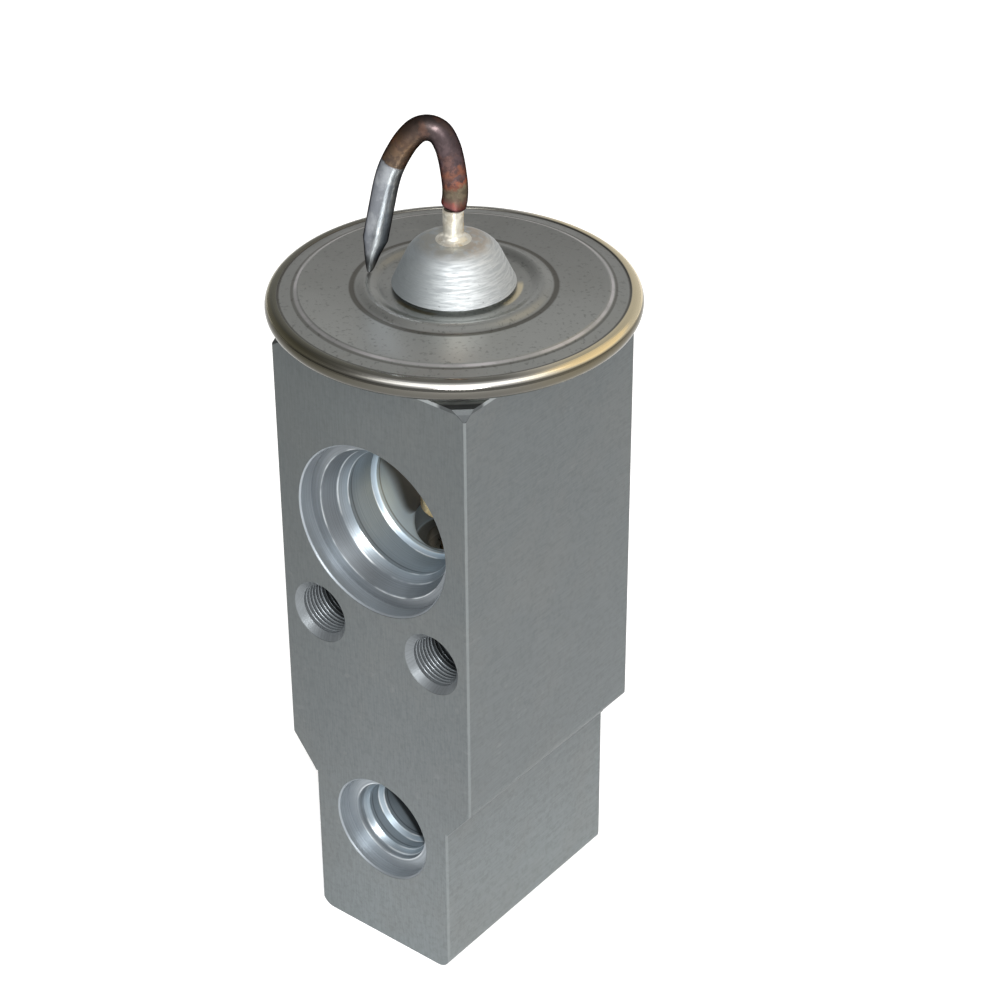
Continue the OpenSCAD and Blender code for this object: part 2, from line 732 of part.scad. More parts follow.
// Spring: coil with closed ends between the screw and the carrier
module superheat_spring() {
    sides = 8;
    steps = 24;
    n = spring_turns * steps;
    low = screw_top + spring_wire / 2;
    high = carrier_flange_z - spring_wire / 2;
    closed = 0.75;
    rest = spring_wire * closed;
    color([0.65, 0.66, 0.68])
        skin([for (i = [0 : n])
            let (t = i / steps, back = spring_turns - t, a = 360 * t,
                mid = low + rest + (high - low - 2 * rest)
                    * (t - closed) / (spring_turns - 2 * closed),
                z = t < closed ? low + spring_wire * t
                    : back < closed ? high - spring_wire * back : mid)
            [for (j = [0 : sides - 1])
                let (b = -360 * j / sides, r = spring_r + spring_wire / 2 * cos(b))
                [r * cos(a), r * sin(a), z + spring_wire / 2 * sin(b)]]]);
}

// Screw: thread, seal groove, spring boss on top, and a hex socket below
module adjusting_screw() {
    thread_r = screw_r - run_gap;
    collar_r = chamber_r - 0.1;
    boss_r = spring_r - spring_wire / 2 - 0.35;
    lead = 0.4;
    dish = 0.4;
    socket_r = socket_af / 2 / cos(30);
    color([0.76, 0.64, 0.38])
        difference() {
            rotate_extrude()
                polygon([[0, screw_recess], [thread_r - lead, screw_recess],
                    [thread_r, screw_recess + lead],
                    [thread_r, screw_recess + screw_thread_len - lead],
                    [thread_r - lead, screw_recess + screw_thread_len],
                    [collar_r, screw_recess + screw_thread_len], [collar_r, groove_z],
                    [groove_r, groove_z], [groove_r, groove_z + screw_seal_d],
                    [collar_r, groove_z + screw_seal_d], [collar_r, screw_top],
                    [boss_r, screw_top], [boss_r, screw_top + screw_boss_h],
                    [0, screw_top + screw_boss_h]]);
            translate([0, 0, screw_recess - past])
                cylinder(r = socket_r, h = socket_depth + past, $fn = 6);
            translate([0, 0, screw_recess])
                cylinder(r1 = socket_r + dish, r2 = socket_r, h = dish);
        }
}

module screw_seal() {
    color([0.1, 0.1, 0.1])
        ring_seal(groove_r + seal_gap, screw_seal_d, groove_z);
}

valve_body();
power_head_cover();
charge_hub();
charge_tube();
tube_solder();
power_head_base();
diaphragm();
diaphragm_stop();
power_head_seal();
sensing_rod();
push_pin();
rod_seal();
rod_seal_retainer();
orifice_seat();
valve_ball();
ball_carrier();
steady_ring();
superheat_spring();
adjusting_screw();
screw_seal();
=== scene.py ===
import math

import bpy
from mathutils import Matrix, Vector


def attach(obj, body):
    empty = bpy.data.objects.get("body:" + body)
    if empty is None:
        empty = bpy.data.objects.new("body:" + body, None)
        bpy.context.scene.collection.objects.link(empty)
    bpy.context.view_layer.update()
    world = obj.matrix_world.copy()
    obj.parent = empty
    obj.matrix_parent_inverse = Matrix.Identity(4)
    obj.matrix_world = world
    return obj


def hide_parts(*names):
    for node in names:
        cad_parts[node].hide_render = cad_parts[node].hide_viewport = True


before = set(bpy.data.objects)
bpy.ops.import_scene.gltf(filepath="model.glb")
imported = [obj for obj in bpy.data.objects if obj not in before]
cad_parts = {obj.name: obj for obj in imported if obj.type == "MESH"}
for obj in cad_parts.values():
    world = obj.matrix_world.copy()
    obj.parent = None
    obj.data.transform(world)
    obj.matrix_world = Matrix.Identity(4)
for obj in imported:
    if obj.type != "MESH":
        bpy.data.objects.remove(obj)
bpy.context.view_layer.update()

MM = 0.001

# Sizes of the block that its finishes follow, in millimetres: faces, then port axes and mouths
BODY_W, BODY_D = 26.2, 29.2
FOOT_W, FOOT_TOP = 19.4, 20.2
SUCTION_Z, SUCTION_R = 56.9, 10.1
LIQUID_Z, LIQUID_R = 16.1, 6.45
OUTLET_Z, OUTLET_R = 30.4, 7.3
BOLT_Z, BOLT_X, BOLT_R = 43.1, 7.95, 3.0

# Step edges in the ports: radius, and depth below the port face
SUCTION_EDGES = ((8.85, 2.0), (8.1, 3.9), (7.45, 4.94), (7.45, 8.7), (7.0, 9.15))
LIQUID_EDGES = ((5.0, 1.7), (4.8, 2.4), (4.4, 3.04), (4.4, 4.6), (3.9, 5.1))
OUTLET_EDGES = ((6.3, 1.8), (5.9, 3.2), (5.3, 4.16), (5.3, 6.6), (3.6, 8.3))
# How far below each step edge the painted shade lies
STEP_SHADE_BELOW = 0.5

# Chamber on the block's axis, the dome over it, and their reach towards the port faces
CHAMBER_TOP, CHAMBER_R = 45.0, 6.6
DOME_Z, DOME_RISE, DOME_LOW_R, DOME_HIGH_R = 51.4, 7.6, 4.85, 8.5
WELL_HALF = 7.0

# Where the painted light in the bores begins and where it is full, from the middle of the block's
# depth
SUCTION_DEEP, LIQUID_DEEP, PASSAGE_DEEP = (11.5, 8.0), (12.8, 11.4), (5.9, 5.3)

# Depth that light reaches in the bolt holes and in the liquid port's bore, where its end slants;
# beyond it their colour carries painted shade
BOLT_LIT, BORE_LIT, BORE_SLANT = 3.7, 3.4, 0.5656

# Turned corners (radius plus height on their cone) and the ledge above them, with painted shade on
# both and painted light on the ledge inside the radius here
CORNER_Z, CORNER_CONE = 74.5, 94.82
LEDGE_Z, LEDGE_LIT_R = 75.98, 17.5

# Hub, cover and rim
HUB_TOP = 86.0
STEP_R, BEAD_OUT, CREASE_R = 16.6, 10.7, 18.6
RIM_R, RIM_Z = 18.85, 79.0

# Bolt thread: radius, pitch, turns and ridge
THREAD_R, THREAD_PITCH, THREAD_TURNS, THREAD_RIDGE = 3.05, 0.5, 54.6, 0.17

# Level directions: to the photograph's right, and towards its camera
TO_RIGHT = (0.78, 0.62, 0.0)
TO_CAMERA = (0.62, -0.78, 0.0)

# Directions in the room: its light side, its dim side, the window and a warm reflection
LIGHT_SIDE = (0.82, -0.57, 0.0)
DIM_SIDE = (-0.87, -0.50, 0.0)
WINDOW_SIDE = (0.73, -0.68, 0.0)
WARM_SIDE = (0.46, 0.62, 0.63)

# Key lamp, in metres and watts
KEY_AT = (0.355, -0.38, 0.44)
KEY_AIM = (0, 0, 0.05)
KEY_SIZE = (0.20, 0.30)
KEY_WATTS = 4.2

# Floor, in millimetres, just under the foot
FLOOR_HALF, FLOOR_Z = 6000, -0.02


class Net:
    """Places and links nodes in one tree."""

    def __init__(self, tree):
        self.tree = tree

    def add(self, kind, sockets=None, **settings):
        node = self.tree.nodes.new(kind)
        for name, value in settings.items():
            setattr(node, name, value)
        for name, value in (sockets or {}).items():
            self.put(node.inputs[name], value)
        return node

    def put(self, socket, value):
        if isinstance(value, bpy.types.NodeSocket):
            self.tree.links.new(value, socket)
        else:
            socket.default_value = value

    def math(self, operation, a, b=0.0, clamp=False):
        node = self.add("ShaderNodeMath", {0: a, 1: b}, operation=operation, use_clamp=clamp)
        return node.outputs[0]

    def vector(self, operation, a, b=(0, 0, 0)):
        node = self.add("ShaderNodeVectorMath", {0: a, 1: b}, operation=operation)
        return node.outputs["Value" if operation in ("LENGTH", "DOT_PRODUCT") else "Vector"]

    def blend(self, amount, a, b):
        node = self.add("ShaderNodeMix", {0: amount, 6: a, 7: b}, data_type="RGBA")
        return node.outputs[2]

    def level(self, amount, a, b):
        node = self.add("ShaderNodeMix", {0: amount, 2: a, 3: b}, data_type="FLOAT")
        return node.outputs[0]

    def step(self, value, low, high, to_low=0.0, to_high=1.0):
        node = self.add("ShaderNodeMapRange",
                        {"Value": value, "From Min": low, "From Max": high,
                         "To Min": to_low, "To Max": to_high})
        node.interpolation_type = "SMOOTHSTEP"
        return node.outputs["Result"]

    def noise(self, vector, scale, detail=3.0, rough=0.5, dims="3D"):
        socket = "W" if dims == "1D" else "Vector"
        node = self.add("ShaderNodeTexNoise", noise_dimensions=dims)
        self.put(node.inputs[socket], vector)
        self.put(node.inputs["Scale"], scale)
        self.put(node.inputs["Detail"], detail)
        self.put(node.inputs["Roughness"], rough)
        return node.outputs[0]


def effect(name, inputs, outputs, build):
    """Shader node group with named inputs and outputs, built once."""
    tree = bpy.data.node_groups.new(name, "ShaderNodeTree")
    for label, kind, value in inputs:
        socket = tree.interface.new_socket(label, in_out="INPUT", socket_type="NodeSocket" + kind)
        socket.default_value = value
    for label, kind in outputs:
        tree.interface.new_socket(label, in_out="OUTPUT", socket_type="NodeSocket" + kind)
    net = Net(tree)
    given = net.add("NodeGroupInput")
    result = net.add("NodeGroupOutput")
    for label, value in build(net, given.outputs).items():
        net.put(result.inputs[label], value)
    return tree


def place_effect(net, group, **values):
    node = net.add("ShaderNodeGroup", node_tree=group)
    for label, value in values.items():
        net.put(node.inputs[label.replace("_", " ")], value)
    return node.outputs


def build_radius(net, given):
    offset = net.vector("SUBTRACT", given["Position"], given["Centre"])
    flat = net.vector("MULTIPLY", offset, given["Across"])
    return {"Radius": net.vector("LENGTH", flat)}


def build_grain(net, given):
    stretched = net.vector("MULTIPLY", given["Position"], given["Stretch"])
    fine = net.noise(stretched, 1.0, 4.0, 0.6)
    return {"Mask": net.step(fine, 0.35, 0.65), "Height": fine}


def build_turning(net, given):
    turns = net.math("DIVIDE", given["Travel"], given["Pitch"])
    line = net.noise(turns, 1.0, 2.0, 0.7, "1D")
    return {"Mask": net.step(line, 0.4, 0.62), "Height": line}


def build_edge_band(net, given):
    out = net.math("SUBTRACT", given["Radius"], given["Edge Radius"])
    deep = net.math("SUBTRACT", given["Distance"], given["Edge Distance"])
    apart = net.math("SQRT", net.math("ADD", net.math("POWER", out, 2.0),
                                      net.math("POWER", deep, 2.0)))
    return {"Mask": net.step(apart, 0.16 * MM, 0.03 * MM)}


def build_smudge(net, given):
    broad = net.noise(given["Position"], given["Scale"], 5.0, 0.55)
    return {"Mask": net.step(broad, 0.42, 0.68)}


def build_scratch(net, given):
    masks = []
    for turn, offset in ((0.5, 0.0), (2.1, 7.0), (1.2, 13.0)):
        turned = net.add("ShaderNodeVectorRotate",
                         {"Vector": given["Position"], "Angle": turn, "Axis": (0.3, 0.8, 0.5)})
        moved = net.vector("ADD", turned.outputs[0], (offset, offset, offset))
        long = net.vector("MULTIPLY", moved, (9000.0, 160.0, 9000.0))
        line = net.noise(long, 0.12, 1.0, 0.4)
        patch = net.noise(moved, 420.0, 2.0, 0.5)
        thin = net.step(line, 0.70, 0.76)
        masks.append(net.math("MULTIPLY", thin, net.step(patch, 0.5, 0.62)))
    both = net.math("MAXIMUM", masks[0], masks[1])
    every = net.math("MAXIMUM", both, masks[2])
    return {"Mask": net.math("MULTIPLY", every, given["Amount"])}


RADIUS = effect(
    "radius from axis",
    [("Position", "Vector", (0, 0, 0)), ("Centre", "Vector", (0, 0, 0)),
     ("Across", "Vector", (1, 1, 0))],
    [("Radius", "Float")], build_radius)
GRAIN = effect(
    "drawn grain",
    [("Position", "Vector", (0, 0, 0)), ("Stretch", "Vector", (1000, 1000, 1000))],
    [("Mask", "Float"), ("Height", "Float")], build_grain)
TURNING = effect(
    "turning marks",
    [("Travel", "Float", 0.0), ("Pitch", "Float", 0.0001)],
    [("Mask", "Float"), ("Height", "Float")], build_turning)
EDGE_BAND = effect(
    "edge band",
    [("Radius", "Float", 0.0), ("Distance", "Float", 0.0), ("Edge Radius", "Float", 0.0),
     ("Edge Distance", "Float", 0.0)],
    [("Mask", "Float")], build_edge_band)
SMUDGE = effect(
    "smudges",
    [("Position", "Vector", (0, 0, 0)), ("Scale", "Float", 200.0)],
    [("Mask", "Float")], build_smudge)
SCRATCH = effect(
    "scratches",
    [("Position", "Vector", (0, 0, 0)), ("Amount", "Float", 1.0)],
    [("Mask", "Float")], build_scratch)


def metres(values):
    """Lengths in metres from lengths in millimetres."""
    return tuple(value * MM for value in values)


def start_material(name):
    """New material with its shader, and the position on the piece."""
    material = bpy.data.materials.new(name)
    material.use_nodes = True
    material.node_tree.nodes.clear()
    net = Net(material.node_tree)
    shader = net.add("ShaderNodeBsdfPrincipled")
    output = net.add("ShaderNodeOutputMaterial")
    net.put(output.inputs["Surface"], shader.outputs[0])
    place = net.add("ShaderNodeTexCoord").outputs["Object"]
    return material, net, shader, place


def shade(colour, factor):
    return tuple(c * factor for c in colour[:3]) + (1.0,)


def bump(net, shader, height, depth):
    node = net.add("ShaderNodeBump", {"Height": height, "Distance": depth, "Strength": 1.0})
    net.put(shader.inputs["Normal"], node.outputs[0])


def turned_metal(name, colour, rough, pitch=0.12, depth=0.004):
    """Plain metal with turning marks round the upright axis, smudges and light scratches."""
    material, net, shader, place = start_material(name)
    radius = place_effect(net, RADIUS, Position=place, Across=(1, 1, 0))["Radius"]
    height = net.add("ShaderNodeSeparateXYZ", {0: place}).outputs["Z"]
    travel = net.math("ADD", radius, height)
    marks = place_effect(net, TURNING, Travel=travel, Pitch=pitch * MM)
    smudge = place_effect(net, SMUDGE, Position=place, Scale=260.0)["Mask"]
    scratch = place_effect(net, SCRATCH, Position=place, Amount=0.6)["Mask"]
    wear_and_highlight = net.blend(net.math("MULTIPLY", smudge, 0.25), colour, shade(colour, 0.55))
    lit = net.blend(net.math("MULTIPLY", marks["Mask"], 0.12), wear_and_highlight, shade(colour, 1.25))
    net.put(shader.inputs["Base Color"], lit)
    shader.inputs["Metallic"].default_value = 1.0
    uneven = net.math("MULTIPLY_ADD", smudge, 0.12)
    uneven.node.inputs[2].default_value = rough
    dulled = net.math("MULTIPLY", scratch, 0.15)
    net.put(shader.inputs["Roughness"], net.math("ADD", uneven, dulled))
    bump(net, shader, marks["Height"], depth * MM)
    return material


def rubber(name):
    """Black rubber with a dull, slightly mottled skin."""
    material, net, shader, place = start_material(name)
    grain = place_effect(net, GRAIN, Position=place, Stretch=(4000.0, 4000.0, 4000.0))
    smudge = place_effect(net, SMUDGE, Position=place, Scale=300.0)["Mask"]
    colour = net.blend(smudge, (0.012, 0.012, 0.012, 1), (0.03, 0.03, 0.028, 1))
    net.put(shader.inputs["Base Color"], colour)
    net.put(shader.inputs["Roughness"], net.level(grain["Mask"], 0.45, 0.6))
    bump(net, shader, grain["Height"], 0.01 * MM)
    return material


class BlockPlaces:
    """Distances and port masks in the block that its finishes share."""

    def __init__(self, net, place):
        self.net, self.place = net, place
        split = net.add("ShaderNodeSeparateXYZ", {0: place})
        self.x, self.y, self.z = (split.outputs[axis] for axis in "XYZ")
        self.from_axis = place_effect(net, RADIUS, Position=place, Across=(1, 1, 0))["Radius"]
        self.side_x = net.math("ABSOLUTE", self.x)
        self.side_y = net.math("ABSOLUTE", self.y)
        self.depth = net.math("SUBTRACT", BODY_D / 2 * MM, self.side_y)
        self.front = net.math("LESS_THAN", self.y, 0.0)
        self.back = net.math("GREATER_THAN", self.y, 0.0)
        self.suction_r, self.suction = self.port((0, 0, SUCTION_Z), SUCTION_R)
        self.liquid_r, self.liquid = self.port((0, 0, LIQUID_Z), LIQUID_R, self.front)
        self.outlet_r, self.outlet = self.port((0, 0, OUTLET_Z), OUTLET_R, self.back)
        self.bolts = net.math("MAXIMUM", *(self.port((side * BOLT_X, 0, BOLT_Z), BOLT_R + 0.6)[1]
                                           for side in (-1, 1)))

    def port(self, centre, reach, half=None):
        """Radius from a port's axis, and a mask over its mouth on one half or on both."""
        radius = place_effect(self.net, RADIUS, Position=self.place,
                              Centre=metres(centre), Across=(1, 0, 1))["Radius"]
        mask = self.net.step(radius, (reach + 0.35) * MM, (reach + 0.2) * MM)
        return radius, self.net.math("MULTIPLY", mask, half) if half else mask

    def bored(self):
        """Mask over all that is bored into the two port faces."""
        net = self.net
        inside = net.step(self.side_y, (BODY_D / 2 - 0.02) * MM, (BODY_D / 2 - 0.06) * MM)
        ports = net.math("MAXIMUM", self.suction, net.math("MAXIMUM", self.liquid, self.outlet))
        return net.math("MULTIPLY", net.math("MAXIMUM", ports, self.bolts), inside)

    def nearest_port(self):
        return self.net.math("MINIMUM", self.suction_r,
                             self.net.math("MINIMUM", self.liquid_r, self.outlet_r))

    def broken_edges(self):
        """Mask over the painted highlight lines where the upright edges are broken."""
        net = self.net
        edge_x = net.step(self.side_x, (BODY_W / 2 - 0.28) * MM, (BODY_W / 2 - 0.16) * MM)
        edge_y = net.step(self.side_y, (BODY_D / 2 - 0.28) * MM, (BODY_D / 2 - 0.16) * MM)
        foot_x = net.math("MULTIPLY", net.math("LESS_THAN", self.z, FOOT_TOP * MM),
                          net.step(self.side_x, (FOOT_W / 2 - 0.28) * MM,
                                   (FOOT_W / 2 - 0.16) * MM))
        return net.math("MULTIPLY", net.math("MAXIMUM", edge_x, foot_x), edge_y)

    def well_shade(self):
        """Mask over the chamber and dome on the block's axis, between the ports, that carry painted
        shade.
        """
        net = self.net
        rise = net.math("DIVIDE", net.math("SUBTRACT", self.z, DOME_Z * MM), DOME_RISE * MM,
                        clamp=True)
        dome = net.level(net.math("SQRT", rise), DOME_LOW_R * MM, DOME_HIGH_R * MM)
        above = net.math("GREATER_THAN", self.z, CHAMBER_TOP * MM)
        reach = net.level(above, CHAMBER_R * MM, dome)
        inner = net.step(net.math("SUBTRACT", self.from_axis, reach), 0.3 * MM, -0.4 * MM)
        return net.math("MULTIPLY", inner, net.math("LESS_THAN", self.side_y, WELL_HALF * MM))

    def step_edges(self):
        """Masks over the painted highlights on the step edges in the ports, and over the painted
        shade below them.
        """
        net = self.net
        wear_and_highlight = step_shade = 0.0
        for port_r, half, edges in ((self.suction_r, 1.0, SUCTION_EDGES),
                                    (self.liquid_r, self.front, LIQUID_EDGES),
                                    (self.outlet_r, self.back, OUTLET_EDGES)):
            for edge_r, edge_depth in edges:
                line = self.edge_line(port_r, edge_r, edge_depth)
                wear_and_highlight = net.math("MAXIMUM", wear_and_highlight, net.math("MULTIPLY", line, half))
                line = self.edge_line(port_r, edge_r, edge_depth + STEP_SHADE_BELOW)
                step_shade = net.math("MAXIMUM", step_shade, net.math("MULTIPLY", line, half))
        return wear_and_highlight, step_shade

    def edge_line(self, port_r, edge_r, edge_depth):
        return place_effect(self.net, EDGE_BAND, Radius=port_r, Distance=self.side_y,
                            Edge_Radius=edge_r * MM,
                            Edge_Distance=(BODY_D / 2 - edge_depth) * MM)["Mask"]

    def end_shade_mask(self):
        """Mask over the painted shade at the deep ends of the bolt holes and of the liquid port's
        bore.
        """
        net = self.net
        lower = net.math("SUBTRACT", LIQUID_Z * MM, net.math("ADD", self.x, self.z))
        slant = net.math("MAXIMUM", net.math("MULTIPLY", lower, BORE_SLANT), 0.0)
        past = net.math("SUBTRACT", self.depth, net.math("ADD", slant, BORE_LIT * MM))
        bore_end = net.math("MULTIPLY", net.step(past, 0.1 * MM, 0.6 * MM), self.liquid)
        bolt_end = net.math("MULTIPLY", net.step(self.depth, BOLT_LIT * MM,
                                                 (BOLT_LIT + 0.5) * MM), self.bolts)
        return net.math("MAXIMUM", bore_end, bolt_end)


def block_faces(net, place, at, face_mask, smudge):
    """Colour of the satin faces, with painted shade to the top, on the front face and to the left,
    painted light towards the foot, and painted highlights at the edges.
    """
    scratch = place_effect(net, SCRATCH, Position=place, Amount=0.8)["Mask"]
    # Painted light: the faces are lighter towards the foot
    foot = net.step(at.z, 30 * MM, 0.0)
    satin = net.blend(foot, (0.184, 0.201, 0.207, 1), (0.228, 0.251, 0.257, 1))
    darker = net.blend(foot, (0.158, 0.175, 0.181, 1), (0.195, 0.216, 0.222, 1))
    colour = net.blend(net.math("MULTIPLY", face_mask, 0.4), satin, darker)
    colour = net.blend(net.math("MULTIPLY", smudge, 0.4), colour, (0.205, 0.213, 0.21, 1))
    speckle = net.step(net.noise(place, 1500.0, 3.0, 0.7), 0.45, 0.65)
    colour = net.blend(net.math("MULTIPLY", speckle, 0.22), colour, (0.10, 0.108, 0.11, 1))
    colour = net.blend(net.math("MULTIPLY", scratch, 0.3), colour, (0.27, 0.28, 0.28, 1))
    # Painted shade towards the top, heavier on the front face, and to the left
    off_front = net.step(at.y, -BODY_D / 2 * MM, (0.6 - BODY_D / 2) * MM)
    painted_shade = net.math("MULTIPLY", net.step(at.z, 12 * MM, 74 * MM),
                     net.level(off_front, 0.45, 0.25))
    painted_shade = net.math("ADD", painted_shade, net.step(at.x, 2 * MM, -12 * MM, 0.0, 0.2))
    colour = net.blend(painted_shade, colour, (0.085, 0.095, 0.095, 1))
    # Painted highlights along the broken edges
    edges = net.math("MULTIPLY", at.broken_edges(), 0.32)
    colour = net.blend(edges, colour, (0.34, 0.365, 0.37, 1))

    # Painted shade on the turned corners under the power head, then on the ledge over them painted
    # light near the axis and painted shade further out
    cone = net.math("ADD", at.from_axis, at.z)
    turned = net.math("MULTIPLY", net.math("GREATER_THAN", at.z, CORNER_Z * MM),
                      net.step(cone, CORNER_CONE * MM, (CORNER_CONE + 0.05) * MM))
    colour = net.blend(turned, colour, (0.06, 0.065, 0.067, 1))
    ledge_shade = net.step(at.from_axis, (LEDGE_LIT_R - 0.2) * MM, (LEDGE_LIT_R + 0.2) * MM)
    ledge = net.blend(ledge_shade, (0.34, 0.365, 0.37, 1), (0.085, 0.092, 0.095, 1))
    return net.blend(net.math("GREATER_THAN", at.z, LEDGE_Z * MM), colour, ledge)


def block_bores(net, place, at, rings, smudge):
    """Colour of the bored metal: ring marks, painted light on the outer seats and deep in the
    bores, painted highlights on the step edges, and painted shade below them and at the dark ends.
    """
    # Painted light: brighter deeper in the bores and on the outer seats, darker on the bolt-hole
    # chamfers and the next steps
    liquid_deep = net.math("MULTIPLY", at.liquid, net.step(at.side_y, *metres(LIQUID_DEEP)))
    deep = net.math("MAXIMUM", net.step(at.side_y, *metres(SUCTION_DEEP)), liquid_deep)
    chamfer = net.step(at.depth, 1.0 * MM, 0.7 * MM)
    hole_bright = net.blend(chamfer, (0.25, 0.272, 0.287, 1), (0.20, 0.218, 0.23, 1))
    hole_dull = net.blend(chamfer, (0.17, 0.186, 0.20, 1), (0.15, 0.164, 0.175, 1))
    seat = net.step(at.depth, 1.7 * MM, 2.1 * MM)
    mouth_bright = net.blend(seat, (0.34, 0.375, 0.405, 1), (0.20, 0.22, 0.237, 1))
    mouth_dull = net.blend(seat, (0.235, 0.26, 0.282, 1), (0.14, 0.154, 0.167, 1))
    mouth_bright = net.blend(at.bolts, mouth_bright, hole_bright)
    mouth_dull = net.blend(at.bolts, mouth_dull, hole_dull)
    bright = net.blend(deep, mouth_bright, (0.365, 0.435, 0.49, 1))
    dull = net.blend(deep, mouth_dull, (0.258, 0.315, 0.36, 1))
    colour = net.blend(net.math("MULTIPLY", rings["Mask"], 0.5), bright, dull)
    colour = net.blend(net.math("MULTIPLY", smudge, 0.35), colour, dull)
    # Painted light far down the passage
    passage_light = net.math("MULTIPLY", net.step(at.side_y, *metres(PASSAGE_DEEP)), 0.75)
    colour = net.blend(passage_light, colour, (0.72, 0.86, 0.97, 1))
    # Painted highlights on the step edges, broken into patches, and painted shade just below them
    wear_and_highlight, step_shade = at.step_edges()
    colour = net.blend(net.math("MULTIPLY", step_shade, 0.6), colour, (0.10, 0.108, 0.115, 1))
    patchy_highlight = net.math("MULTIPLY", wear_and_highlight, net.step(net.noise(place, 260.0, 2.0), 0.40, 0.62))
    colour = net.blend(net.math("MULTIPLY", patchy_highlight, 0.8), colour, (0.74, 0.78, 0.80, 1))
    # Painted shade at the ends of the bolt holes and of the liquid port's bore
    end_shade = net.math("MULTIPLY", at.end_shade_mask(), 0.9)
    return net.blend(end_shade, colour, (0.03, 0.034, 0.036, 1))


def block_alloy():
    """Satin block: drawn grain on the sides, sawn port faces, bored ports, with painted light and
    shade on the faces and in the bores.
    """
    material, net, shader, place = start_material("block_alloy")
    at = BlockPlaces(net, place)
    bored = at.bored()

    # Rings cut by the boring tool: round the port's own axis and along its depth
    travel = net.math("ADD", at.nearest_port(), at.side_y)
    rings = place_effect(net, TURNING, Travel=travel, Pitch=0.16 * MM)

    # Extruded sides carry lines along Y, the port faces fine upright ones
    drawn = place_effect(net, GRAIN, Position=place, Stretch=(9000.0, 260.0, 9000.0))
    sawn = place_effect(net, GRAIN, Position=place, Stretch=(5200.0, 5200.0, 420.0))
    port_face = net.step(at.side_y, (BODY_D / 2 - 0.12) * MM, (BODY_D / 2 - 0.02) * MM)
    face_mask = net.level(port_face, drawn["Mask"], sawn["Mask"])
    face_height = net.level(port_face, drawn["Height"], sawn["Height"])

    smudge = place_effect(net, SMUDGE, Position=place, Scale=110.0)["Mask"]
    faces = block_faces(net, place, at, face_mask, smudge)
    bores = block_bores(net, place, at, rings, smudge)
    # Painted shade over the chamber and dome between the ports
    colour = net.blend(at.well_shade(), net.blend(bored, faces, bores), (0.11, 0.111, 0.103, 1))
    net.put(shader.inputs["Base Color"], colour)
    net.put(shader.inputs["Metallic"], net.level(bored, 0.9, 0.6))
    face_rough = net.level(face_mask, 0.46, 0.54)
    bored_rough = net.level(rings["Mask"], 0.32, 0.42)
    net.put(shader.inputs["Roughness"], net.level(bored, face_rough, bored_rough))
    height = net.level(bored, net.math("MULTIPLY", face_height, 0.5), rings["Height"])
    bump(net, shader, height, 0.012 * MM)
    return material


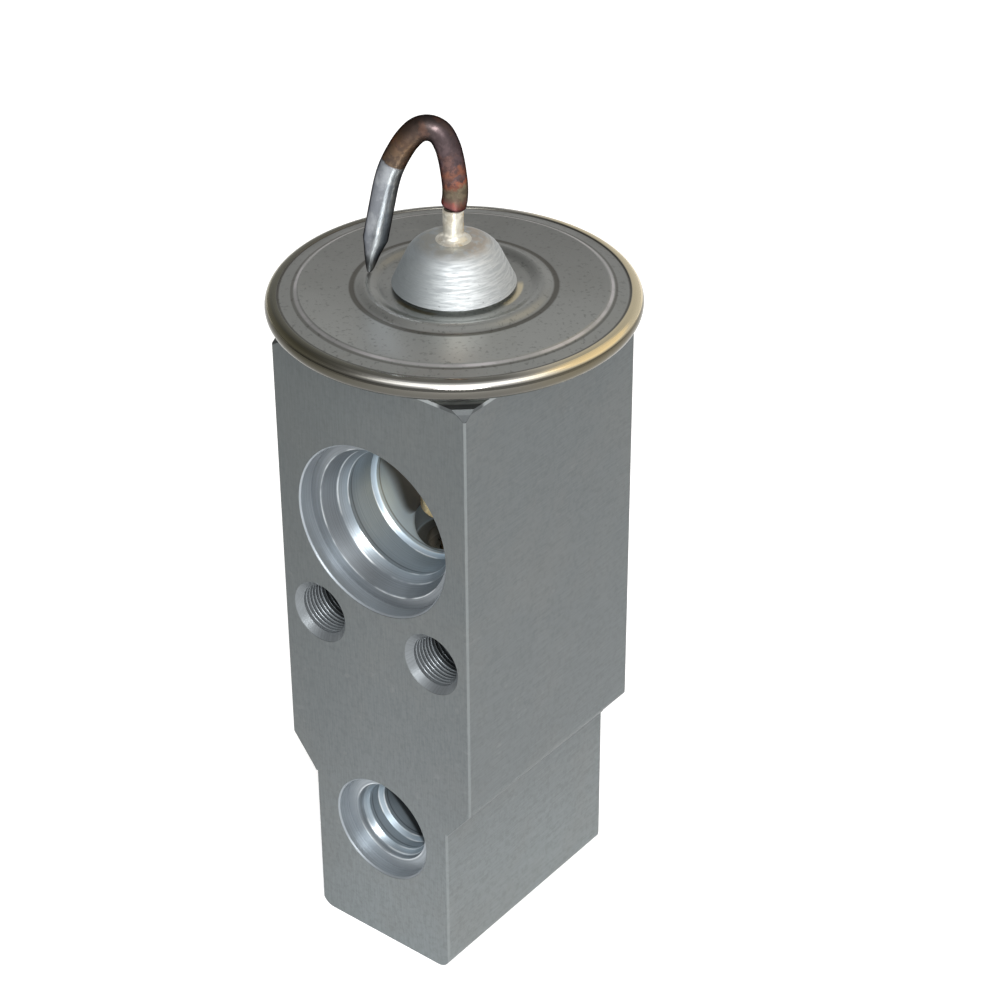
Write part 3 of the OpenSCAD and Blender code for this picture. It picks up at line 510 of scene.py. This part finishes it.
def cover_steel():
    """Pressed stainless cover: ring grain, painted light towards the front, a painted highlight on
    the step, painted shade at the step, the bead and the crease, and a rim coloured by painted
    reflections.
    """
    material, net, shader, place = start_material("cover_steel")
    split = net.add("ShaderNodeSeparateXYZ", {0: place})
    radius = place_effect(net, RADIUS, Position=place, Across=(1, 1, 0))["Radius"]
    rings = place_effect(net, TURNING, Travel=radius, Pitch=0.09 * MM)
    smudge = place_effect(net, SMUDGE, Position=place, Scale=170.0)["Mask"]
    scratch = place_effect(net, SCRATCH, Position=place, Amount=0.7)["Mask"]

    def ring_line(middle, half):
        away = net.math("ABSOLUTE", net.math("SUBTRACT", radius, middle * MM))
        return net.step(away, half * MM, half * 0.4 * MM)

    # Painted light: the sheet is lighter towards the front
    ahead = net.step(net.vector("DOT_PRODUCT", place, TO_CAMERA), -14 * MM, 16 * MM)
    sheet = net.blend(ahead, (0.35, 0.352, 0.335, 1), (0.56, 0.57, 0.545, 1))
    matte = net.blend(ahead, (0.30, 0.302, 0.285, 1), (0.49, 0.50, 0.475, 1))
    colour = net.blend(net.math("MULTIPLY", rings["Mask"], 0.25), sheet, matte)
    colour = net.blend(net.math("MULTIPLY", smudge, 0.4), colour, matte)
    speck = net.step(net.noise(place, 2100.0, 3.0, 0.6), 0.55, 0.70)
    colour = net.blend(net.math("MULTIPLY", speck, 0.4), colour, (0.15, 0.15, 0.14, 1))
    colour = net.blend(net.math("MULTIPLY", scratch, 0.3), colour, (0.5, 0.48, 0.43, 1))
    # Painted highlight along the step, broken up by the smudges, brighter at the front
    wear_and_highlight = net.math("MULTIPLY", ring_line(STEP_R + 0.12, 0.22), net.step(smudge, -0.6, 0.6))
    step_highlight_tone = net.blend(ahead, (0.70, 0.67, 0.67, 1), (1.0, 0.96, 0.97, 1))
    colour = net.blend(net.math("MULTIPLY", wear_and_highlight, 0.9), colour, step_highlight_tone)
    # Painted shade in the step, at the bead's outer foot and in the crease
    for middle, half, amount in ((STEP_R + 0.5, 0.2, 0.5), (BEAD_OUT + 0.1, 0.42, 0.75),
                                 (CREASE_R, 0.22, 0.7)):
        crease_shade = net.math("MULTIPLY", ring_line(middle, half), amount)
        colour = net.blend(crease_shade, colour, (0.10, 0.09, 0.07, 1))

    # Braze that ran out from under the hub on two sides, the right one brightened into a painted
    # highlight
    for middle, half, toward, tone in ((6.95, 0.45, (0.94, 0.342, 0), (1.0, 0.88, 0.62, 1)),
                                       (6.75, 0.40, (0.0, -1.0, 0), (0.38, 0.34, 0.22, 1))):
        facing = net.math("DIVIDE", net.vector("DOT_PRODUCT", place, toward), radius)
        braze_and_highlight = net.math("MULTIPLY", ring_line(middle, half), net.step(facing, 0.90, 0.97))
        colour = net.blend(net.math("MULTIPLY", braze_and_highlight, 0.85), colour, tone)

    # Angle round the rolled rim, from its crest outwards, and the side that it faces
    over = net.math("SUBTRACT", split.outputs["Z"], RIM_Z * MM)
    out = net.math("SUBTRACT", radius, RIM_R * MM)
    roll = net.math("ARCTAN2", out, over)
    side = net.math("DIVIDE", net.vector("DOT_PRODUCT", place, TO_RIGHT), radius)
    # Painted reflections on the rim: dark on the far left, pale in front, gold on the right, dark
    # at the crest and below it, a light lip
    rim_reflection = net.blend(net.step(side, -0.85, -0.1), (0.25, 0.23, 0.15, 1), (0.86, 0.84, 0.80, 1))
    rim_reflection = net.blend(net.step(side, 0.2, 0.7), rim_reflection, (0.98, 0.85, 0.58, 1))
    crest = net.math("MULTIPLY", net.step(net.math("ABSOLUTE", roll), 0.60, 0.40),
                     net.step(side, 0.55, 0.2))
    rim_reflection = net.blend(net.math("MULTIPLY", crest, 0.8), rim_reflection, (0.19, 0.185, 0.15, 1))
    dark = net.step(net.math("ABSOLUTE", side), 0.15, 0.6)
    low = net.math("MULTIPLY", net.step(roll, 0.92, 1.15), net.step(roll, 2.5, 2.3))
    rim_reflection = net.blend(net.math("MULTIPLY", low, net.level(dark, 0.91, 0.88)), rim_reflection,
                     (0.045, 0.042, 0.032, 1))
    lip = net.step(roll, 2.3, 2.55)
    rim_reflection = net.blend(net.math("MULTIPLY", lip, 0.8), rim_reflection, (0.40, 0.36, 0.27, 1))
    rim = net.math("MAXIMUM", net.step(radius, (CREASE_R + 0.05) * MM, (CREASE_R + 0.2) * MM),
                   net.step(over, 0.4 * MM, 0.2 * MM))
    net.put(shader.inputs["Base Color"], net.blend(rim, colour, rim_reflection))
    shader.inputs["Metallic"].default_value = 1.0
    flat_rough = net.level(smudge, 0.32, 0.4)
    net.put(shader.inputs["Roughness"], net.level(rim, flat_rough, 0.14))
    ring_height = net.math("MULTIPLY", rings["Height"], net.level(rim, 1.0, 0.1))
    bump(net, shader, net.math("ADD", ring_height, net.noise(place, 700.0, 2.0)), 0.009 * MM)
    return material


def hub_steel():
    """Turned hub, brushed round its axis, with painted shade on its left side, stained by flux at
    the top.
    """
    material, net, shader, place = start_material("hub_steel")
    split = net.add("ShaderNodeSeparateXYZ", {0: place})
    z = split.outputs["Z"]
    radius = place_effect(net, RADIUS, Position=place, Across=(1, 1, 0))["Radius"]
    travel = net.math("SUBTRACT", z, net.math("MULTIPLY", radius, 0.5))
    rings = place_effect(net, TURNING, Travel=travel, Pitch=0.10 * MM)
    streaks = place_effect(net, GRAIN, Position=place, Stretch=(500.0, 500.0, 5200.0))
    pits = net.noise(place, 2600.0, 2.0)
    pit = net.step(pits, 0.68, 0.76)
    stain_noise = net.noise(place, 900.0, 4.0, 0.6)
    ring = net.step(radius, 4.4 * MM, 3.0 * MM)
    stain = net.math("MULTIPLY", ring, net.step(stain_noise, 0.34, 0.56))
    side = net.vector("DOT_PRODUCT", place, TO_RIGHT)
    flux = net.blend(net.step(side, 0.5 * MM, 2.2 * MM), (0.42, 0.40, 0.34, 1),
                     (0.55, 0.43, 0.30, 1))
    # Painted shade: the hub is darker on its left side
    base = net.blend(net.step(side, -6 * MM, 3 * MM), (0.33, 0.36, 0.37, 1),
                     (0.63, 0.65, 0.655, 1))
    colour = net.blend(net.math("MULTIPLY", streaks["Mask"], 0.45), base, (0.30, 0.32, 0.335, 1))
    lower = net.math("MULTIPLY", pit, net.step(z, (HUB_TOP - 2.4) * MM, (HUB_TOP - 3.4) * MM))
    colour = net.blend(net.math("MULTIPLY", lower, 0.7), colour, (0.16, 0.16, 0.16, 1))
    colour = net.blend(net.math("MULTIPLY", stain, 0.5), colour, flux)
    net.put(shader.inputs["Base Color"], colour)
    shader.inputs["Metallic"].default_value = 1.0
    rough = net.level(streaks["Mask"], 0.62, 0.76)
    net.put(shader.inputs["Roughness"], net.level(stain, rough, 0.6))
    height = net.math("ADD", rings["Height"], net.math("MULTIPLY", streaks["Height"], 0.45))
    bump(net, shader, height, 0.010 * MM)
    return material


def edge_shade(net, shader, colour):
    """Painted shade: darkens a bright metal towards its outline, as a dim room does."""
    facing = net.add("ShaderNodeLayerWeight", {"Blend": 0.5}).outputs["Facing"]
    rim = net.step(facing, 0.45, 0.92)
    net.put(shader.inputs["Base Color"], net.blend(net.math("MULTIPLY", rim, 0.8), colour,
                                                   (0.035, 0.033, 0.035, 1)))
    shader.inputs["Specular Tint"].default_value = (0.15, 0.14, 0.14, 1)


def copper():
    """Heat-stained copper, tinned beyond a station along the tube, with painted light at the tin's
    tip and painted shade at the outline.
    """
    material, net, shader, place = start_material("copper")
    along = net.add("ShaderNodeAttribute", attribute_name="along").outputs["Fac"]
    patches = net.noise(place, 420.0, 4.0, 0.6)
    fine = net.noise(place, 1500.0, 4.0, 0.6)
    uneven = net.math("ADD", net.math("SUBTRACT", patches, 0.5), net.math("SUBTRACT", fine, 0.5))
    wavy = net.math("ADD", along, net.math("MULTIPLY", uneven, 0.11))
    ramp = net.add("ShaderNodeValToRGB", {"Fac": wavy})
    stops = ramp.color_ramp.elements
    for i, (station, colour) in enumerate(COPPER_BANDS):
        stop = stops[i] if i < 2 else stops.new(station / (len(ROUTE) - 1))
        stop.position = station / (len(ROUTE) - 1)
        stop.color = colour + (1,)
    spots = net.math("MULTIPLY", net.step(along, 0.10, 0.02), net.step(fine, 0.5, 0.58))
    stained = net.blend(net.math("MULTIPLY", spots, 0.8), ramp.outputs["Color"],
                        (0.42, 0.16, 0.17, 1))
    stained = net.blend(net.math("MULTIPLY", net.step(patches, 0.50, 0.62), 0.3), stained,
                        (0.27, 0.13, 0.09, 1))
    stained = net.blend(net.math("MULTIPLY", net.step(fine, 0.42, 0.6), 0.4), stained,
                        (0.05, 0.037, 0.04, 1))
    ragged = net.math("ADD", along, net.math("MULTIPLY", net.math("SUBTRACT", fine, 0.5), 0.012))
    tinned = net.step(ragged, TINNED - 0.003, TINNED + 0.003)
    tin = net.blend(net.step(patches, 0.4, 0.6), (0.335, 0.355, 0.38, 1), (0.21, 0.225, 0.25, 1))
    # Painted light: the tin is paler towards the pinched tip
    tin = net.blend(net.step(along, 0.93, 1.0), tin, (0.62, 0.65, 0.68, 1))
    edge_shade(net, shader, net.blend(tinned, stained, tin))
    shader.inputs["Metallic"].default_value = 1.0
    copper_rough = net.level(net.step(fine, 0.4, 0.6), 0.36, 0.5)
    net.put(shader.inputs["Roughness"], net.level(tinned, copper_rough, 0.3))
    lumps = net.noise(place, 900.0, 2.0)
    height = net.math("ADD", net.math("MULTIPLY", fine, 0.4), lumps)
    bump(net, shader, net.math("ADD", height, net.math("MULTIPLY", tinned, 1.2)), 0.03 * MM)
    return material


def solder():
    """Lumpy tin solder with traces of flux."""
    material, net, shader, place = start_material("solder")
    lumps = net.noise(place, 1100.0, 3.0)
    flux = net.step(net.noise(place, 800.0, 3.0, 0.6), 0.5, 0.64)
    side = net.step(net.vector("DOT_PRODUCT", place, TO_RIGHT), 0.3 * MM, 1.3 * MM)
    amber = net.blend(side, (0.30, 0.25, 0.17, 1), (0.60, 0.43, 0.20, 1))
    colour = net.blend(net.math("MULTIPLY", flux, net.level(side, 0.5, 0.9)),
                       (0.74, 0.71, 0.62, 1), amber)
    net.put(shader.inputs["Base Color"], colour)
    shader.inputs["Metallic"].default_value = 0.75
    net.put(shader.inputs["Roughness"], net.level(flux, 0.28, 0.55))
    bump(net, shader, lumps, 0.09 * MM)
    return material


def sweep(name, path, ring_at, sides, material, values=None):
    """Mesh tube along path: ring_at(i, angle) gives the offset across and out of the plane."""
    points, faces = [], []
    for i, (centre, out, side) in enumerate(path):
        for j in range(sides):
            a = 2 * math.pi * j / sides
            u, w = ring_at(i, a)
            points.append(centre + out * u + side * w)
    last = len(path) - 1
    for i in range(last):
        for j in range(sides):
            k = (j + 1) % sides
            faces.append((i * sides + j, i * sides + k, (i + 1) * sides + k, (i + 1) * sides + j))
    faces.append(tuple(range(sides))[::-1])
    faces.append(tuple(last * sides + j for j in range(sides)))
    return mesh_piece(name, points, faces, material,
                      [v for v in (values or []) for _ in range(sides)])


def mesh_piece(name, points, faces, material, values=None):
    mesh = bpy.data.meshes.new(name)
    mesh.from_pydata([tuple(p * MM) for p in points], [], faces)
    if values:
        mesh.attributes.new("along", "FLOAT", "POINT").data.foreach_set("value", values)
    mesh.materials.append(material)
    mesh.shade_smooth()
    piece = bpy.data.objects.new(name, mesh)
    bpy.context.collection.objects.link(piece)
    return piece


def spline(points, s):
    """Point on the smooth curve through points at station s."""
    k = min(int(s), len(points) - 2)
    t = s - k
    a, b = points[max(k - 1, 0)], points[k]
    c, d = points[k + 1], points[min(k + 2, len(points) - 1)]
    return tuple((2 * q + t * (r - p) + t * t * (2 * p - 5 * q + 4 * r - v)
                  + t ** 3 * (3 * q - p - 3 * r + v)) / 2
                 for p, q, r, v in zip(a, b, c, d))


def ease(t):
    t = min(max(t, 0.0), 1.0)
    return t * t * (3 - 2 * t)


# The charge tube's route: distance from the axis, height over the hub's top, in millimetres
ROUTE = [(0, 3.7), (-0.2, 4.6), (-0.27, 5.8), (-0.2, 6.9), (-0.05, 8.1), (0.15, 9.3),
         (0.5, 10.6), (1.2, 11.9), (2.3, 12.4), (3.5, 12.1), (4.6, 11), (5.6, 9.4),
         (6.5, 7.5), (7.05, 5.7), (7.5, 3.6), (7.9, 1.6), (8.3, -0.4), (8.7, -2.4), (9.1, -4.6)]
TUBE_R = 1.35
TUBE_END_R = 0.95
TUBE_TURN = 26
PINCH_HALF = 0.3
PINCH_SPREAD = 0.15
SWELL_END, PINCH_START, PINCH_END, SNIP_START = 0.5, 16.2, 18, 17
TINNED_STATION = 11.6
TINNED = TINNED_STATION / (len(ROUTE) - 1)

# Heat colours of the copper by station along the route, the ramp's two ends first
COPPER_BANDS = [
    (0.0, (0.16, 0.085, 0.10)), (12.0, (0.15, 0.115, 0.085)), (0.8, (0.26, 0.09, 0.075)),
    (1.3, (0.19, 0.155, 0.11)), (2.4, (0.19, 0.16, 0.11)), (2.8, (0.30, 0.11, 0.07)),
    (3.4, (0.10, 0.075, 0.08)), (4.0, (0.27, 0.11, 0.07)), (4.6, (0.115, 0.08, 0.085)),
    (6.6, (0.10, 0.075, 0.078)), (8.2, (0.075, 0.06, 0.056)), (10.0, (0.15, 0.095, 0.062))]


def charge_tube(material):
    """Smooth tube along the route, with a shoulder over the solder and a pinched blade."""
    steps, sides = 10, 40
    spin = Matrix.Rotation(math.radians(180 + TUBE_TURN), 3, "Z")
    path, sizes, along = [], [], []
    stations = (len(ROUTE) - 1) * steps
    for i in range(stations + 1):
        s = i / steps
        u, h = spline(ROUTE, s)
        u0, h0 = spline(ROUTE, max(s - 0.05, 0))
        u1, h1 = spline(ROUTE, min(s + 0.05, len(ROUTE) - 1))
        ahead = Vector((u1 - u0, 0, h1 - h0)).normalized()
        out = Vector((-ahead.z, 0, ahead.x))
        path.append((spin @ Vector((u, 0, HUB_TOP + h)), spin @ out, spin @ Vector((0, 1, 0))))
        swell = TUBE_END_R + 0.05 + (TUBE_R - TUBE_END_R - 0.05) * math.sqrt(ease(s / SWELL_END))
        pinch = min(max((s - PINCH_START) / (PINCH_END - PINCH_START), 0), 1)
        thin = swell + (PINCH_HALF - swell) * pinch
        snip = ease((s - SNIP_START) / (len(ROUTE) - 1 - SNIP_START))
        wide = swell * (1 + PINCH_SPREAD * pinch) * (1 - 0.6 * snip)
        sizes.append((thin, wide, pinch))
        along.append(s / (len(ROUTE) - 1))

    def ring(i, a):
        thin, wide, pinch = sizes[i]
        power = 1 - 0.1 * pinch
        c, s = math.cos(a), math.sin(a)
        return (thin * math.copysign(abs(c) ** power, c), -wide * math.copysign(abs(s) ** power, s))

    piece = sweep("charge_tube_skin", path, ring, sides, material, along)
    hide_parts("charge_tube")
    return piece


def coil(material):
    """Closed-end coil of round wire between the screw and the carrier."""
    low, high, wire, mean, turns, rest = 8.1, 16.58, 1.2, 4.25, 5, 0.75
    steps, sides = 40, 12
    path = []
    for i in range(turns * steps + 1):
        t = i / steps
        left = turns - t
        middle = (low + wire / 2 + wire * rest
                  + (high - low - wire - 2 * wire * rest) * (t - rest) / (turns - 2 * rest))
        z = low + wire / 2 + wire * t if t < rest else (
            high - wire / 2 - wire * left if left < rest else middle)
        a = 2 * math.pi * t
        out = Vector((math.cos(a), math.sin(a), 0))
        path.append((Vector((mean * out.x, mean * out.y, z)), out, Vector((0, 0, 1))))
    piece = sweep("coil_spring", path,
                  lambda i, a: (wire / 2 * math.cos(a), -wire / 2 * math.sin(a)), sides, material)
    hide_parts("superheat_spring")
    return piece


def thread_tree(material):
    """Node tree that winds a thread ridge and sets one at each of a row of holes."""
    tree = bpy.data.node_groups.new("thread ridges", "GeometryNodeTree")
    sizes = {"Radius": 0.003, "Pitch": 0.001, "Turns": 10.0, "Ridge": 0.0005, "Spacing": 0.01}
    tree.interface.new_socket("Geometry", in_out="INPUT", socket_type="NodeSocketGeometry")
    sockets = {}
    for label, value in sizes.items():
        socket = tree.interface.new_socket(label, in_out="INPUT", socket_type="NodeSocketFloat")
        socket.default_value = value
        sockets[label] = socket.identifier
    tree.interface.new_socket("Geometry", in_out="OUTPUT", socket_type="NodeSocketGeometry")
    net = Net(tree)
    given = net.add("NodeGroupInput").outputs
    length = net.math("MULTIPLY", given["Pitch"], given["Turns"])
    spiral = net.add("GeometryNodeCurveSpiral",
                     {"Resolution": 40, "Rotations": given["Turns"], "Height": length,
                      "Start Radius": given["Radius"], "End Radius": given["Radius"]})
    profile = net.add("GeometryNodeCurvePrimitiveCircle",
                      {"Resolution": 4, "Radius": given["Ridge"]})
    ridge = net.add("GeometryNodeCurveToMesh",
                    {"Curve": spiral.outputs[0], "Profile Curve": profile.outputs[0],
                     "Fill Caps": True})
    laid = net.add("GeometryNodeTransform",
                   {"Geometry": ridge.outputs[0], "Rotation": (-math.pi / 2, 0, 0)})
    start = net.add("ShaderNodeCombineXYZ", {"X": net.math("MULTIPLY", given["Spacing"], -0.5)})
    stride = net.add("ShaderNodeCombineXYZ", {"X": given["Spacing"]})
    row = net.add("GeometryNodeMeshLine",
                  {"Count": 2, "Start Location": start.outputs[0], "Offset": stride.outputs[0]})
    set_out = net.add("GeometryNodeInstanceOnPoints",
                      {"Points": row.outputs[0], "Instance": laid.outputs[0]})
    real = net.add("GeometryNodeRealizeInstances", {0: set_out.outputs[0]})
    finish = net.add("GeometryNodeSetMaterial", {"Geometry": real.outputs[0], "Material": material})
    result = net.add("NodeGroupOutput")
    net.put(result.inputs[0], finish.outputs[0])
    return tree, sockets


def bolt_threads(material):
    """Thread ridges in the two bolt holes."""
    tree, sockets = thread_tree(material)
    holder = bpy.data.objects.new("thread_holder", bpy.data.meshes.new("thread_holder"))
    bpy.context.collection.objects.link(holder)
    winding = holder.modifiers.new("threads", "NODES")
    winding.node_group = tree
    for label, value in {"Radius": THREAD_R * MM, "Pitch": THREAD_PITCH * MM,
                         "Turns": THREAD_TURNS, "Ridge": THREAD_RIDGE * MM,
                         "Spacing": 2 * BOLT_X * MM}.items():
        winding[sockets[label]] = value
    evaluated = holder.evaluated_get(bpy.context.evaluated_depsgraph_get())
    mesh = bpy.data.meshes.new_from_object(evaluated)
    holder.modifiers.clear()
    bpy.data.objects.remove(holder)
    start = -THREAD_TURNS * THREAD_PITCH / 2
    mesh.transform(Matrix.Translation((0, start * MM, BOLT_Z * MM)))
    piece = bpy.data.objects.new("bolt_threads", mesh)
    bpy.context.collection.objects.link(piece)
    return piece


def paint(node, material):
    """Gives a CAD node its finish."""
    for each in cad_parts[node].material_slots:
        each.material = material


def dress():
    """Finishes for every piece, and the pieces made here."""
    block = block_alloy()
    rubber_black = rubber("seal_rubber")
    finishes = {
        "valve_body": block,
        "power_head_cover": cover_steel(),
        "charge_hub": hub_steel(),
        "tube_solder": solder(),
        "power_head_base": turned_metal("base_steel", (0.40, 0.385, 0.34, 1), 0.35),
        "diaphragm": turned_metal("diaphragm_steel", (0.6, 0.6, 0.58, 1), 0.2),
        "diaphragm_stop": turned_metal("stop_steel", (0.5, 0.5, 0.5, 1), 0.3),
        "sensing_rod": turned_metal("rod_brass", (0.60, 0.42, 0.20, 1), 0.25),
        "push_pin": turned_metal("pin_steel", (0.6, 0.6, 0.6, 1), 0.2),
        "orifice_seat": turned_metal("seat_steel", (0.55, 0.55, 0.53, 1), 0.25),
        "valve_ball": turned_metal("ball_steel", (0.7, 0.7, 0.7, 1), 0.08, depth=0.0005),
        "ball_carrier": turned_metal("carrier_brass", (0.55, 0.43, 0.23, 1), 0.3),
        "adjusting_screw": turned_metal("screw_brass", (0.58, 0.45, 0.22, 1), 0.3),
    }
    for node in ("power_head_seal", "rod_seal", "screw_seal"):
        finishes[node] = rubber_black
    finishes["rod_seal_retainer"] = finishes["push_pin"]
    wire = turned_metal("spring_steel", (0.45, 0.46, 0.48, 1), 0.3, pitch=0.2)
    finishes["steady_ring"] = wire
    for node, material in finishes.items():
        paint(node, material)

    tube = charge_tube(copper())
    spring = coil(wire)
    threads = bolt_threads(block)
    for piece, body, slot in ((tube, "valve", "copper"), (spring, "valve", "spring_steel"),
                              (threads, "valve", "block_alloy")):
        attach(piece, body)


# Camera, solved from the block's edges and the power head's rings: millimetres and degrees
IMAGE_PX = 1000
FOCAL_PX = 2725.46
CAMERA_AT = (160.44, -195.01, 217.81)
CAMERA_AZIMUTH = 38.38
CAMERA_ELEVATION = 33.05
CAMERA_ROLL = -0.31


def set_camera():
    data = bpy.data.cameras.new("camera")
    data.sensor_width = 36
    data.lens = FOCAL_PX / IMAGE_PX * data.sensor_width
    data.clip_start = 0.01
    data.clip_end = 20
    camera = bpy.data.objects.new("camera", data)
    bpy.context.collection.objects.link(camera)
    azimuth, elevation = math.radians(CAMERA_AZIMUTH), math.radians(CAMERA_ELEVATION)
    back = Vector((math.sin(azimuth) * math.cos(elevation),
                   -math.cos(azimuth) * math.cos(elevation), math.sin(elevation)))
    right = Vector((math.cos(azimuth), math.sin(azimuth), 0))
    up = back.cross(right)
    roll = Matrix.Rotation(math.radians(CAMERA_ROLL), 3, back)
    turn = Matrix((roll @ right, roll @ up, back)).transposed()
    camera.matrix_world = Matrix.Translation(Vector(CAMERA_AT) * MM) @ turn.to_4x4()
    bpy.context.scene.camera = camera


def key_lamp():
    data = bpy.data.lights.new("key", "AREA")
    data.shape = "ELLIPSE"
    data.size, data.size_y = KEY_SIZE
    data.energy = KEY_WATTS
    lamp = bpy.data.objects.new("key", data)
    lamp.location = KEY_AT
    aim = Vector(KEY_AIM) - Vector(KEY_AT)
    lamp.rotation_euler = aim.to_track_quat("-Z", "Y").to_euler()
    bpy.context.collection.objects.link(lamp)


def set_lights():
    """One soft key lamp, and a world that is brighter in front and on the right."""
    key_lamp()
    world = bpy.data.worlds.new("studio")
    bpy.context.scene.world = world
    world.use_nodes = True
    world.node_tree.nodes.clear()
    net = Net(world.node_tree)
    sky = net.add("ShaderNodeBackground")
    output = net.add("ShaderNodeOutputWorld")
    net.put(output.inputs["Surface"], sky.outputs[0])
    direction = net.add("ShaderNodeTexCoord").outputs["Generated"]
    height = net.add("ShaderNodeSeparateXYZ", {0: direction}).outputs["Z"]
    right = net.vector("DOT_PRODUCT", direction, LIGHT_SIDE)
    left = net.vector("DOT_PRODUCT", direction, DIM_SIDE)
    dome = net.math("ADD", net.step(right, -0.2, 0.9, 0.0, 0.18),
                    net.step(height, 0.05, 0.9, 0.54, 0.32))
    dome = net.math("SUBTRACT", dome, net.step(left, 0.2, 0.8, 0.0, 0.24))

    # A broad window in front, and a warm reflection from the right
    level = net.math("ABSOLUTE", net.math("SUBTRACT", height, 0.80))
    front = net.math("MULTIPLY", net.step(level, 0.20, 0.08),
                     net.step(net.vector("DOT_PRODUCT", direction, WINDOW_SIDE), 0.05, 0.35))
    warm = net.step(net.vector("DOT_PRODUCT", direction, WARM_SIDE), 0.86, 0.94)
    dome = net.math("ADD", dome, net.math("MULTIPLY", front, 0.9))
    dome = net.math("ADD", dome, net.math("MULTIPLY", warm, 0.35))
    path = net.add("ShaderNodeLightPath").outputs["Is Camera Ray"]
    net.put(sky.inputs["Color"],
            net.blend(net.level(path, warm, 0.0), (1, 1, 1, 1), (1.0, 0.88, 0.68, 1)))
    net.put(sky.inputs["Strength"], net.level(path, dome, 1.0))


def set_floor():
    """White floor that keeps the valve's soft shadow."""
    corners = ((-1, -1), (1, -1), (1, 1), (-1, 1))
    mesh = bpy.data.meshes.new("floor")
    mesh.from_pydata([(x * FLOOR_HALF * MM, y * FLOOR_HALF * MM, 0) for x, y in corners],
                     [], [(0, 1, 2, 3)])
    floor = bpy.data.objects.new("floor", mesh)
    floor.location.z = FLOOR_Z * MM
    bpy.context.collection.objects.link(floor)
    material, net, shader, _ = start_material("floor_white")
    shader.inputs["Base Color"].default_value = (0.9, 0.9, 0.9, 1)
    shader.inputs["Roughness"].default_value = 0.9
    shader.inputs["Specular IOR Level"].default_value = 0.0
    path = net.add("ShaderNodeLightPath").outputs
    mirrored = net.math("MAXIMUM", path["Is Glossy Ray"], path["Is Transmission Ray"])
    seen = net.math("MAXIMUM", net.math("MULTIPLY", path["Is Camera Ray"], 0.5),
                    net.math("MULTIPLY", mirrored, 0.25))
    shader.inputs["Emission Color"].default_value = (1, 1, 1, 1)
    net.put(shader.inputs["Emission Strength"], seen)
    mesh.materials.append(material)


bpy.context.scene.view_settings.view_transform = "Standard"
set_camera()
set_lights()
set_floor()
dress()
